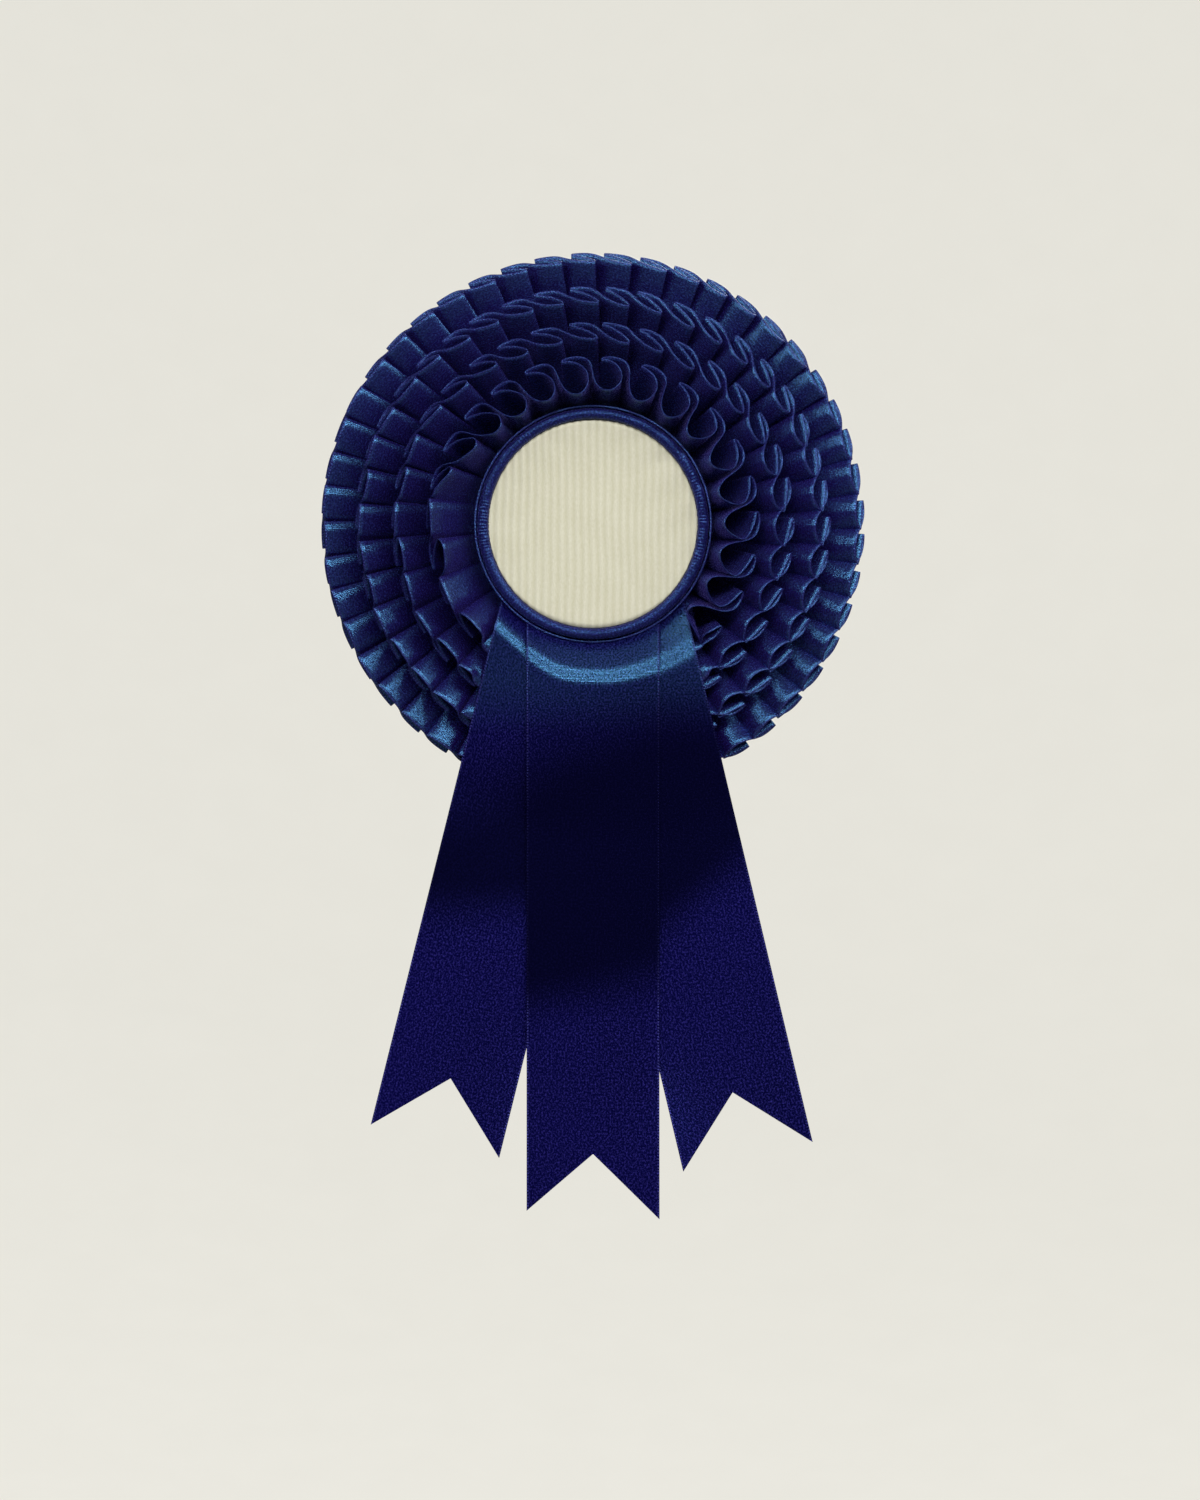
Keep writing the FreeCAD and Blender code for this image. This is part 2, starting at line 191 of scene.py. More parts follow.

# A tail's band of painted shade in millimetres: where it begins and is deepest, how its top
# slopes, how far it fades at its end, how its edges wander, and how much light is left in
# it. It darkens the colour and the gloss. Gloss comes back up over GLOSS_SPAN.
PAINTED_SHADE_SPAN = (-44.0, -78.0)
PAINTED_SHADE_SLOPE = 0.3
PAINTED_SHADE_FADE = 24.0
PAINTED_SHADE_WANDER = 30.0
PAINTED_SHADE_LIGHT = 0.1
PAINTED_SHADE_GLOSS = 0.1
PAINTED_SHADE_COLOUR = (4, 4, 28)
GLOSS_SPAN = (-60.0, -45.0)

# Pleats under the tails are pressed down: the gap they leave, the least share of its height
# a pleat keeps, how far past that height it may reach, and how far beside a tail they are
# pressed.
PRESS_CLEAR = 0.35
PRESS_LEAST = 0.04
PRESS_STEPS = 12
TALLEST = 1.1
PRESS_MARGIN = 1.2
PRESS_FADE = 3.2

# Centre. The rim and the piping are divided into steps round the ring and round the wire.
CENTRE_RADIUS = 29.8
RIM_RADIUS = 31.5
RIM_WIRE = 1.6
RIM_DEPTH = 17.9
RIM_STEPS = (1680, 28)
RIM_GATHERS = 210
GATHER_HEIGHT = 0.03
PIPING_RADIUS = 33.7
PIPING_WIRE = 0.35
PIPING_DEPTH = 17.0
PIPING_STEPS = (1600, 12)
PIPING_TWISTS = 200
TWIST_HEIGHT = 0.05
WRAP_WIDTH = 10.0
CARD_RIB_PITCH = 2.25
CARD_RIB_HEIGHT = 0.1
CARD_RIB_CHANCE = 0.25
CARD_COLUMNS = 260
CARD_ROWS = 41
CARD_THICKNESS = 0.25
CARD_FIT = 0.9995
CARD_SEED = 5

# Camera, which looks along Y at a point given by its x and z
CAMERA_TARGET = (2.0, -64.7)
FRAME_HEIGHT = 432.0
CAMERA_DISTANCE = 2500.0
SENSOR_LONG_SIDE = 36.0

# The stage, in metres. Lights aim at LIGHT_TARGET, and their power is in watts.
FLOOR_Z = -0.75
BOWL_RADIUS = 3.8
BOWL_BEND = 2.5
BOWL_SIDES = 96
BOWL_INNER = 0.001
BACKDROP_GLOW = 0.7
WORLD_LIGHT = 0.08
LIGHT_TARGET = (0, 0, -0.05)
Light = namedtuple("Light", "name place size power")
LIGHTS = [
    Light("key", (0.2, -1.62, 0.98), (2.8, 0.2), 51),
    Light("right_key", (1.95, -0.75, 1.0), (2.0, 0.24), 34),
    Light("left_key", (-1.95, -0.75, 1.0), (2.0, 0.24), 32),
    Light("fill", (1.2, -1.6, 0.1), (0.8, 1.2), 1),
    Light("back_key", (0.6, 1.6, 1.2), (1.2, 0.8), 36),
    Light("top", (0.0, 0.0, 3.6), (4.0, 4.0), 38),
]


# ---------------------------------------------------------------- curves and surfaces


def smooth_step(low, high, value):
    """From 0 at low to 1 at high, levelling off at both."""
    t = np.clip((value - low) / (high - low), 0, 1)
    return t * t * (3 - 2 * t)


def rounded_path(corners, bends, steps=12):
    """Points along straight runs whose corners are rounded off."""
    corners = [np.array(c, float) for c in corners]
    points = [corners[0]]
    start = corners[0]
    for corner, after, bend in zip(corners[1:], corners[2:], bends):
        incoming = (corner - start) / np.linalg.norm(corner - start)
        outgoing = (after - corner) / np.linalg.norm(after - corner)
        turn = math.acos(float(np.clip(incoming @ outgoing, -1, 1)))
        reach = bend * math.tan(turn / 2)
        first = corner - incoming * reach
        last = corner + outgoing * reach
        for i in range(steps + 1):
            t = i / steps
            points.append((1 - t) ** 2 * first + 2 * t * (1 - t) * corner + t * t * last)
        start = last
    points.append(corners[-1])
    return np.array(points)


TAIL_PATH = rounded_path(
    [
        (0.0, HEAD_DEPTH),
        (CLIMB_RADIUS, HEAD_DEPTH),
        CREST_CORNER,
        (FREE_START, FREE_DEPTH),
        (SURFACE_OUTER, FREE_DEPTH),
    ],
    BENDS,
)


def tail_depth(x, z):
    """Depth of the lowest tail's rear face, whose crest runs a little askew."""
    radius = np.hypot(x, z)
    askew = CREST_OFFSET + CREST_SLANT * np.maximum(x, 0)
    askew = askew - LEFT_CREST_DROP * smooth_step(*LEFT_CREST_SPAN, x)
    bent = smooth_step(*CREST_BLEND, radius)
    return np.interp(radius - askew * bent, TAIL_PATH[:, 0], TAIL_PATH[:, 1])


def tail_axes(tail):
    """Unit vectors across and along a tail, in x and z."""
    tilt = math.radians(tail.tilt)
    across = np.array([math.cos(tilt), -math.sin(tilt)])
    along = np.array([-math.sin(tilt), -math.cos(tilt)])
    return across, along


def tail_place(tail, across, along):
    """x and z of a point given by its distances across and along a tail."""
    side, down = tail_axes(tail)
    x = tail.root_x + across * side[0] + along * down[0]
    z = across * side[1] + along * down[1]
    return x, z


def spline_loop(control, turns, samples):
    """A closed cubic B-spline through a ring of control points whose first value grows by
    turns each time round."""
    count = len(control)
    index = np.arange(count)
    neighbours = []
    for shift in (-1, 0, 1, 2):
        wrapped = control[(index + shift) % count].copy()
        wrapped[:, 0] += turns * ((index + shift) // count)
        neighbours.append(wrapped)
    p0, p1, p2, p3 = neighbours
    rows = []
    for t in np.arange(samples) / samples:
        rows.append(
            (
                (1 - t) ** 3 * p0
                + (3 * t**3 - 6 * t**2 + 4) * p1
                + (-3 * t**3 + 3 * t**2 + 3 * t + 1) * p2
                + t**3 * p3
            )
            / 6
        )
    return np.stack(rows, axis=1).reshape(-1, control.shape[1])


# ---------------------------------------------------------------- meshes


def grid_mesh(name, points, uv, closed=False):
    """A mesh from a grid of points (rows, columns, 3) in millimetres, with uv (rows,
    columns, 2) in millimetres. A closed grid joins its last column to its first, and its
    uv has one column more."""
    rows, columns = points.shape[:2]
    r, c = np.meshgrid(np.arange(rows - 1), np.arange(columns - (not closed)), indexing="ij")
    right = (c + 1) % columns
    corners = [(r, c), (r, right), (r + 1, right), (r + 1, c)]
    faces = np.stack([a * columns + b for a, b in corners], axis=-1).reshape(-1, 4)
    mesh = bpy.data.meshes.new(name)
    mesh.from_pydata((points.reshape(-1, 3) * MM).tolist(), [], faces.tolist())
    layer = mesh.uv_layers.new(name="ribbon")
    uv_corners = [uv[r, c], uv[r, c + 1], uv[r + 1, c + 1], uv[r + 1, c]]
    layer.data.foreach_set("uv", np.stack(uv_corners, axis=2).reshape(-1))
    mesh.polygons.foreach_set("use_smooth", np.ones(len(mesh.polygons), bool))
    mesh.update()
    piece = bpy.data.objects.new(name, mesh)
    bpy.context.scene.collection.objects.link(piece)
    return piece


def apply_modifiers(piece):
    """Turns a piece's modifiers into its mesh."""
    depsgraph = bpy.context.evaluated_depsgraph_get()
    mesh = bpy.data.meshes.new_from_object(piece.evaluated_get(depsgraph))
    piece.modifiers.clear()
    piece.data = mesh


def thicken(piece, thickness, offset=0.0):
    """Gives a sheet its thickness: half each way, or all behind it if offset is -1."""
    solid = piece.modifiers.new("thickness", "SOLIDIFY")
    solid.thickness = thickness * MM
    solid.offset = offset
    apply_modifiers(piece)


def lengths_along(points):
    """How far along a line of points each one is."""
    steps = np.linalg.norm(np.diff(points, axis=0), axis=1)
    return np.concatenate([[0.0], np.cumsum(steps)])


# ---------------------------------------------------------------- materials


class Graph:
    """Short calls for building a material's nodes."""

    def __init__(self, name):
        self.material = bpy.data.materials.new(name)
        self.material.use_nodes = True
        self.nodes = self.material.node_tree.nodes
        self.links = self.material.node_tree.links
        self.shader = self.nodes["Principled BSDF"]

    def node(self, kind, inputs=None, **settings):
        made = self.nodes.new(kind)
        for key, value in settings.items():
            setattr(made, key, value)
        for key, value in (inputs or {}).items():
            self.put(made.inputs[key], value)
        return made

    def put(self, socket, value):
        if isinstance(value, bpy.types.NodeSocket):
            self.links.new(value, socket)
        else:
            socket.default_value = value

    def math(self, operation, a, b=0.0, c=0.0):
        made = self.node("ShaderNodeMath", {0: a, 1: b, 2: c}, operation=operation)
        return made.outputs[0]

    def noise(self, vector, scale, detail=3.0, roughness=0.5):
        made = self.node(
            "ShaderNodeTexNoise",
            {"Vector": vector, "Scale": scale, "Detail": detail, "Roughness": roughness},
        )
        return made.outputs["Fac"]

    def stretch(self, vector, scale):
        made = self.node("ShaderNodeMapping", {"Vector": vector, "Scale": scale})
        return made.outputs[0]

    def ramp(self, value, low, high, to_low=0.0, to_high=1.0):
        made = self.node(
            "ShaderNodeMapRange",
            {
                "Value": value,
                "From Min": low,
                "From Max": high,
                "To Min": to_low,
                "To Max": to_high,
            },
        )
        return made.outputs[0]

    def soft_ramp(self, value, low, high):
        inputs = {"Value": value, "From Min": low, "From Max": high}
        made = self.node("ShaderNodeMapRange", inputs, interpolation_type="SMOOTHSTEP")
        return made.outputs[0]

    def mix(self, factor, a, b):
        made = self.node("ShaderNodeMix", data_type="RGBA")
        self.put(made.inputs[0], factor)
        self.put(made.inputs[6], a)
        self.put(made.inputs[7], b)
        return made.outputs[2]

    def bump(self, height, distance, strength=1.0):
        inputs = {"Height": height, "Distance": distance * MM, "Strength": strength}
        return self.node("ShaderNodeBump", inputs).outputs[0]

    def set(self, **inputs):
        for key, value in inputs.items():
            self.put(self.shader.inputs[key.replace("_", " ")], value)

    def place(self):
        return self.node("ShaderNodeTexCoord").outputs["Object"]

    def ribbon(self):
        """The ribbon's own coordinates in millimetres: along it, and across it."""
        uv = self.node("ShaderNodeUVMap", uv_map="ribbon").outputs[0]
        split = self.node("ShaderNodeSeparateXYZ", {0: uv})
        return uv, split.outputs[0], split.outputs[1]


def rgb(red, green, blue):
    """A colour given as it is seen on a screen, from 0 to 255."""
    values = [c / 255 for c in (red, green, blue)]
    linear = [c / 12.92 if c <= 0.04045 else ((c + 0.055) / 1.055) ** 2.4 for c in values]
    return (*linear, 1.0)


def satin(name, width, dark, light, veil, shine=1.2, polish=0.2, both_edges=False, shade=None):
    """Navy satin ribbon: fine cross ribs, slubs along the warp, and woven edges. width is
    in millimetres. veil is its sheen, shine how much it reflects and polish its lowest
    roughness. Its last edge shows, or both do. shade is a function of the graph that gives
    the painted shade: how much light is left in the colour, and how much of its gloss is left."""
    g = Graph(name)
    uv, along, across = g.ribbon()
    ribs = g.math("SINE", g.math("MULTIPLY", along, 2 * math.pi / RIB_PITCH))
    warp = g.math("SINE", g.math("MULTIPLY", across, 2 * math.pi / WARP_PITCH))
    slubs = g.noise(g.stretch(uv, (0.25, 3.0, 1.0)), 1.0, 4.0, 0.6)
    grain = g.noise(g.stretch(uv, (1.7, 1.9, 1.0)), 1.0, 1.0, 0.5)
    patches = g.noise(g.place(), 24.0, 2.0)
    weave = g.math("ADD", g.math("MULTIPLY", ribs, 0.5), g.math("MULTIPLY", warp, 0.35))
    tone = g.math("ADD", g.math("MULTIPLY", slubs, 0.55), g.math("MULTIPLY", patches, 0.45))
    colour = g.mix(g.ramp(tone, 0.3, 0.7), dark, light)
    colour = g.mix(g.ramp(grain, 0.46, 0.76), colour, rgb(*GRAIN_COLOUR))
    distance = g.math("SUBTRACT", width, across)
    if both_edges:
        distance = g.math("MINIMUM", across, distance)
    inside = g.math("MULTIPLY", g.ramp(distance, 0.6, 0.4), g.ramp(distance, 0.05, 0.15))
    stitch = g.math("SINE", g.math("MULTIPLY", along, 2 * math.pi / STITCH_PITCH))
    stitches = g.math("MULTIPLY", inside, g.ramp(stitch, -0.2, 0.6))
    colour = g.mix(g.math("MULTIPLY", stitches, 0.4), colour, rgb(*STITCH_COLOUR))
    # Painted shade: the cut edge's own faces are darkened.
    colour = g.mix(g.ramp(distance, 0.04, 0.0), colour, rgb(*CUT_EDGE_SHADE_COLOUR))
    gloss = g.ramp(distance, 0.0, 0.7, 0.3 * shine, shine)
    # Painted shade: where it falls, the colour goes towards near black and the gloss drops.
    if shade is not None:
        lit, glossy = shade(g)
        colour = g.mix(lit, rgb(*PAINTED_SHADE_COLOUR), colour)
        gloss = g.math("MULTIPLY", g.math("MULTIPLY", gloss, lit), glossy)
    height = g.math("MULTIPLY_ADD", slubs, 0.6, g.math("MULTIPLY_ADD", stitches, 2.2, weave))
    tangent = g.node("ShaderNodeTangent", direction_type="UV_MAP", uv_map="ribbon").outputs[0]
    g.set(
        Base_Color=colour,
        Metallic=0.3,
        IOR=1.7,
        Roughness=g.ramp(g.math("ADD", slubs, grain), 0.6, 1.4, polish, polish + 0.12),
        Specular_IOR_Level=g.math("MULTIPLY", gloss, g.ramp(grain, 0.32, 0.68, 0.5, 1.4)),
        Specular_Tint=rgb(*HIGHLIGHT_COLOUR),
        Anisotropic=0.8,
        Anisotropic_Rotation=0.25,
        Tangent=tangent,
        Sheen_Weight=veil,
        Sheen_Roughness=0.4,
        Sheen_Tint=rgb(*VEIL_COLOUR),
        Normal=g.bump(height, RIB_DEPTH),
    )
    return g.material


def painted_tail_shade(tail):
    """Painted shade on a tail: a soft dark band below the tiers, where its colour is darkened
    and its gloss is cut."""

    def shade(g):
        place = g.place()
        split = g.node("ShaderNodeSeparateXYZ", {0: place})
        side, height = split.outputs[0], split.outputs[2]
        wander = PAINTED_SHADE_WANDER * MM
        drift = g.math("MULTIPLY_ADD", g.noise(place, 16.0, 1.0), wander, -wander / 2)
        drifted = g.math("ADD", height, drift)
        top = g.math("MULTIPLY_ADD", side, -PAINTED_SHADE_SLOPE, drifted)
        bottom = g.math("MULTIPLY_ADD", side, -tail.hollow_slope, drifted)
        above = g.soft_ramp(top, PAINTED_SHADE_SPAN[1] * MM, PAINTED_SHADE_SPAN[0] * MM)
        end = tail.hollow_end * MM
        below = g.soft_ramp(bottom, end, end - PAINTED_SHADE_FADE * MM)
        outside = g.math("MAXIMUM", above, below)
        lit = g.math("MULTIPLY_ADD", outside, 1 - PAINTED_SHADE_LIGHT, PAINTED_SHADE_LIGHT)
        low, high = (z * MM for z in GLOSS_SPAN)
        return lit, g.ramp(height, low, high, PAINTED_SHADE_GLOSS, 1.0)

    return shade


def make_card_material():
    """Cream laid card: soft upright ribs with painted shade between them, and paper fibres."""
    g = Graph("cream_card_finish")
    place = g.place()
    across = g.ribbon()[2]
    crest = g.math("COSINE", g.math("MULTIPLY", across, 2 * math.pi / CARD_RIB_PITCH))
    fibres = g.noise(g.stretch(place, (1.0, 1.0, 0.35)), 2600.0, 5.0, 0.65)
    mottling = g.noise(place, 140.0, 3.0)
    tone = g.math("ADD", g.math("MULTIPLY", fibres, 0.75), g.math("MULTIPLY", mottling, 0.25))
    colour = g.mix(g.ramp(tone, 0.3, 0.7), rgb(176, 173, 152), rgb(192, 190, 173))
    # Painted shade: darker in the troughs between the ribs, paler on their crests.
    colour = g.mix(g.ramp(crest, 1.0, -1.0, 0.0, 0.4), colour, rgb(162, 158, 132))
    g.set(
        Base_Color=colour,
        Roughness=0.85,
        Specular_IOR_Level=0.2,
        Normal=g.bump(fibres, 0.05, 0.8),
    )
    return g.material


def make_board_material(name, dark, light):
    """Pressed board: long fibres with dark specks."""
    g = Graph(name)
    place = g.place()
    fibres = g.noise(g.stretch(place, (1.0, 6.0, 1.0)), 900.0, 6.0, 0.7)
    specks = g.noise(place, 3000.0, 2.0, 0.5)
    colour = g.mix(g.ramp(fibres, 0.3, 0.7), dark, light)
    speck = tuple(c * 0.5 for c in dark[:3]) + (1.0,)
    colour = g.mix(g.ramp(specks, 0.66, 0.72), colour, speck)
    g.set(Base_Color=colour, Roughness=0.9, Normal=g.bump(fibres, 0.08))
    return g.material


def make_felt_material():
    """Dark felt, a little clumped."""
    g = Graph("back_felt_finish")
    place = g.place()
    fibres = g.noise(place, 1500.0, 8.0, 0.75)
    clumps = g.noise(place, 160.0, 4.0, 0.6)
    colour = g.mix(g.ramp(clumps, 0.3, 0.75), rgb(20, 20, 44), rgb(38, 38, 70))
    g.set(
        Base_Color=colour,
        Roughness=0.95,
        Specular_IOR_Level=0.15,
        Sheen_Weight=0.35,
        Sheen_Tint=rgb(120, 120, 190),
        Normal=g.bump(g.math("ADD", fibres, clumps), 0.18),
    )
    return g.material


def make_foam_material():
    """Pale foam with open cells."""
    g = Graph("foam_finish")
    place = g.place()
    cells = g.node("ShaderNodeTexVoronoi", {"Vector": place, "Scale": 1400.0}).outputs[0]
    colour = g.mix(g.ramp(cells, 0.0, 0.6), rgb(196, 194, 186), rgb(232, 231, 224))
    g.set(Base_Color=colour, Roughness=0.95, Normal=g.bump(cells, 0.2))
    return g.material


def make_thread_material():
    """Twisted navy thread."""
    g = Graph("thread_finish")
    place = g.place()
    twist = g.node(
        "ShaderNodeTexWave",
        {"Vector": place, "Scale": 900.0, "Distortion": 2.0, "Detail": 2.0},
        bands_direction="DIAGONAL",
    ).outputs["Fac"]
    colour = g.mix(twist, rgb(14, 14, 46), rgb(44, 44, 100))
    g.set(Base_Color=colour, Roughness=0.6, Normal=g.bump(twist, 0.08))
    return g.material


def make_metal_material(name, tint, roughness, brush):
    """Metal with dull wear and fine scratches, whose scale in x, y and z is brush."""
    g = Graph(name)
    place = g.place()
    scratches = g.noise(g.stretch(place, brush), 1.0, 5.0, 0.6)
    wear = g.noise(place, 420.0, 3.0, 0.6)
    dull = tuple(c * 0.72 for c in tint[:3]) + (1.0,)
    shine = g.math("MULTIPLY_ADD", scratches, 0.14, roughness - 0.07)
    g.set(
        Base_Color=g.mix(g.ramp(wear, 0.5, 0.8), tint, dull),
        Metallic=1.0,
        Roughness=g.math("MULTIPLY_ADD", g.ramp(wear, 0.5, 0.8), 0.12, shine),
        Normal=g.bump(scratches, 0.012),
    )
    return g.material


def paint(piece, material):
    """Gives a piece one material."""
    piece.data.materials.clear()
    piece.data.materials.append(material)


def paint_node(node, material):
    """Gives a CAD solid that is shown as it is one material."""
    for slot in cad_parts[node].material_slots:
        slot.material = material


# ---------------------------------------------------------------- pleated tiers


def pleat_pattern(tier, degrees):
    """The control points of one pleat at a clock angle."""
    arched = np.interp(degrees, *zip(*ARCHED_SHARE)) * (1 - ROUND_LOSS * tier.roundness)
    flat = np.interp(degrees, *zip(*FLAT_SHARE))
    loose = np.array(OPEN_PLEAT) * (1 - tier.roundness) + np.array(ROUND_PLEAT) * tier.roundness
    rest = 1 - arched - flat
    return np.array(ARCHED_PLEAT) * arched + np.array(FLAT_PLEAT) * flat + loose * rest


def pleat_control(tier, random):
    """Control points all round a tier's outer edge, with every pleat a little different."""
    pleats = []
    drift = random.uniform(0, 2 * math.pi, 3)
    for k in range(tier.pleats):
        turn = 2 * math.pi * k / tier.pleats
        one = pleat_pattern(tier, (math.degrees(turn) + 360 / tier.pleats) % 360)
        swell = sum(math.sin((i + 2) * turn + drift[i]) for i in range(3)) / 3
        chance = random.uniform(-FULLNESS_CHANCE, FULLNESS_CHANCE)
        fullness = 1 + FULLNESS_SWELL * swell + chance
        tilt = random.uniform(-TILT_CHANCE, TILT_CHANCE)
        width = 1 + random.uniform(-WIDTH_CHANCE, WIDTH_CHANCE)
        one[:, 0] = PLEAT_MIDDLE + (one[:, 0] - PLEAT_MIDDLE) * width + tilt * one[:, 1]
        rise = random.uniform(-RISE_CHANCE, RISE_CHANCE, len(one))
        one[:, 1] = one[:, 1] * fullness + rise
        one[:, 0] += k + random.uniform(-SHIFT_CHANCE, SHIFT_CHANCE)
        pleats.append(one)
    return np.concatenate(pleats)


def pressed(angle, rear, front):
    """How much of its full height a pleat may stand at, which is less under the tails.
    rear and front are each a radius and a depth."""
    low = np.full_like(angle, PRESS_LEAST)
    high = np.ones_like(angle)
    for step in range(PRESS_STEPS):
        share = high if step == 0 else (low + high) / 2
        radius = rear[0] + (front[0] - rear[0]) * share * TALLEST
        depth = rear[1] + (front[1] - rear[1]) * share * TALLEST
        x, z = radius * np.sin(angle), radius * np.cos(angle)
        clear = depth < tail_depth(x, z) - PRESS_CLEAR
        low = np.where(clear, share, low)
        high = np.where(clear, high, share)
    covered = np.zeros_like(angle)
    for tail in TAILS:
        side, down = tail_axes(tail)
        off = np.abs((x - tail.root_x) * side[0] + z * side[1]) - TAIL_WIDTH / 2
        below = (x - tail.root_x) * down[0] + z * down[1]
        near = 1 - smooth_step(PRESS_MARGIN, PRESS_MARGIN + PRESS_FADE, off)
        covered = np.maximum(covered, near * (below > 0))
    return 1 + (low - 1) * covered


def make_tier(tier, material):
    """A ribbon pleated right round, stitched along its inner edge. Its rows go from that
    edge outwards, and its length is measured three quarters of the way out."""
    random = np.random.default_rng(tier.seed)
    edge = spline_loop(pleat_control(tier, random), tier.pleats, SAMPLES)
    even = np.arange(len(edge)) * tier.pleats / len(edge)
    progress = even + edge[:, 0].mean() - even.mean()
    sway = edge[:, 0] - progress
    rear_inner = np.array([tier.inner_radius, BASE_FRONT])
    front_inner = np.array([tier.inner_radius, BASE_FRONT + STITCHED_THICKNESS])
    rear_outer = np.array(tier.rear_edge)
    front_outer = np.array(tier.front_edge)
    flare = rear_outer - rear_inner
    width = float(np.linalg.norm(flare))
    normal = np.array([-flare[1], flare[0]]) / width
    lean_share = INNERMOST_LEAN_SHARE if tier is TIERS[-1] else LEAN_SHARE
    height = edge[:, 1]
    rows = []
    for v in np.linspace(0, 1, ROWS):
        belly = BELLY * math.sin(math.pi * v)
        rear = rear_inner + flare * v - normal * belly
        front = front_inner + (front_outer - front_inner) * v - normal * belly
        swing = 1 + INNER_SWING * (1 - v)
        angle = 2 * math.pi * (progress + sway * swing) / tier.pleats
        lean = np.interp(np.degrees(angle) % 360, *zip(*lean_share))
        change = LEAN_CHANGE * np.sin(LEAN_CHANGE_RATE * progress + tier.seed)
        lean = lean + change * (1 - lean)
        front = (rear[0] + (front[0] - rear[0]) * lean, front[1])
        lift = pressed(angle, rear, front)
        radius = rear[0] + (front[0] - rear[0]) * height * lift
        depth = rear[1] + (front[1] - rear[1]) * height * lift
        rows.append(np.stack([radius * np.sin(angle), -depth, radius * np.cos(angle)], axis=1))
    points = np.stack(rows)
    measured = points[ROWS * 3 // 4]
    run = lengths_along(np.concatenate([measured, measured[:1]]))
    across = np.linspace(0, width, ROWS)
    uv = np.stack(np.meshgrid(run, across), axis=-1)
    piece = grid_mesh(tier.name + "_ribbon", points, uv, closed=True)
    thicken(piece, SATIN_THICKNESS)
    paint(piece, material)
    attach(piece, "rosette")
    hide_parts(tier.name)


# ---------------------------------------------------------------- tails


def tail_waves(x, along):
    """The slow waves that all the tails share, so that they never cross."""
    slow = SLOW_WAVE * np.sin((along - 60) / 24 + x / 55)
    cross = CROSS_WAVE * np.sin(x / 13 + along / 40)
    return smooth_step(*WAVE_SPAN, along) * (slow + cross)


def tail_points(tail, across, along):
    """Points in space of a tail's middle surface."""
    x, z = tail_place(tail, across, along)
    share = across / (TAIL_WIDTH / 2)
    cup = CUP * share**2 * smooth_step(*CUP_SPAN, along)
    parted = smooth_step(*CURL_SPAN, along)
    twist = -TWIST_CURL if tail.name == "right" else TWIST_CURL
    curl = parted * (twist * share + EDGE_CURL * share**2)
    depth = tail_depth(x, z) + tail.layer * LAYER_PITCH + LOWEST_LAYER
    depth = depth + tail_waves(x, along) + cup + curl
    return np.stack([x, -depth, z], axis=-1)


def tail_grid(tail, top, bottom, steps, start=0.0):
    """A stretch of a tail from top to bottom, each given as a length for each column. start
    is the measure along the ribbon at its top. Returns points, uv and the stretch's
    length."""
    columns = np.linspace(-TAIL_WIDTH / 2, TAIL_WIDTH / 2, len(top))
    rows = []
    for t in np.linspace(0, 1, steps):
        rows.append(tail_points(tail, columns, top + (bottom - top) * t))
    points = np.stack(rows)
    run = lengths_along(points[:, len(top) // 2])
    measures = np.meshgrid(start + run, columns + TAIL_WIDTH / 2, indexing="ij")
    return points, np.stack(measures, axis=-1), run[-1]


def crisp_cut_edges(piece):
    """Keeps a sheet's cut edges from rounding the shading of its faces."""
    piece.data.set_sharp_from_angle(angle=CUT_EDGE_ANGLE)


def held_length(tail, across):
    """How far along a tail it is held: to its held_z, or to under the piping."""
    if tail.held_z is None:
        return np.sqrt(HEAD_EDGE_RADIUS**2 - (across + tail.root_x) ** 2)
    side, down = tail_axes(tail)
    return (tail.held_z - across * side[1]) / down[1]


def make_tail_head(tail, material):
    """The top end of a tail, held under the centre. Returns its length."""
    columns = np.linspace(-TAIL_WIDTH / 2, TAIL_WIDTH / 2, TAIL_COLUMNS)
    top = np.full(TAIL_COLUMNS, HEAD_TOP)
    bottom = held_length(tail, columns)
    points, uv, run = tail_grid(tail, top, bottom, HEAD_ROWS)
    piece = grid_mesh(f"tail_head_{tail.name}_ribbon", points, uv)
    thicken(piece, SATIN_THICKNESS)
    crisp_cut_edges(piece)
    paint(piece, material)
    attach(piece, "rosette")
    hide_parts(f"tail_head_{tail.name}")
    return run


def make_tail(tail, head_run, material):
    """The hanging length of a tail, from where it is held to its V-notched end."""
    half = TAIL_WIDTH / 2
    columns = np.linspace(-half, half, TAIL_COLUMNS)
    top = held_length(tail, columns)
    outer_length = np.where(columns < 0, tail.left_length, tail.right_length)
    tip = tail.notch_length + (outer_length - tail.notch_length) * np.abs(columns) / half
    straight = np.full(len(columns), tail.notch_length - NOTCH_MARGIN)
    upper, upper_uv, upper_run = tail_grid(tail, top, straight, UPPER_ROWS, head_run)
    lower, lower_uv, lower_run = tail_grid(tail, straight, tip, LOWER_ROWS)
    notch_stretch = (tip - straight) / (tip[len(columns) // 2] - straight[0])
    lower_uv[..., 0] = head_run + upper_run + lower_uv[..., 0] * notch_stretch
    points = np.concatenate([upper, lower[1:]])
    uv = np.concatenate([upper_uv, lower_uv[1:]])
    piece = grid_mesh(f"tail_{tail.name}_ribbon", points, uv)
    thicken(piece, SATIN_THICKNESS)
    crisp_cut_edges(piece)
    paint(piece, material)
    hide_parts(f"tail_{tail.name}")
    body = f"{tail.name}_tail"
    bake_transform(piece)
    return body


# ---------------------------------------------------------------- centre


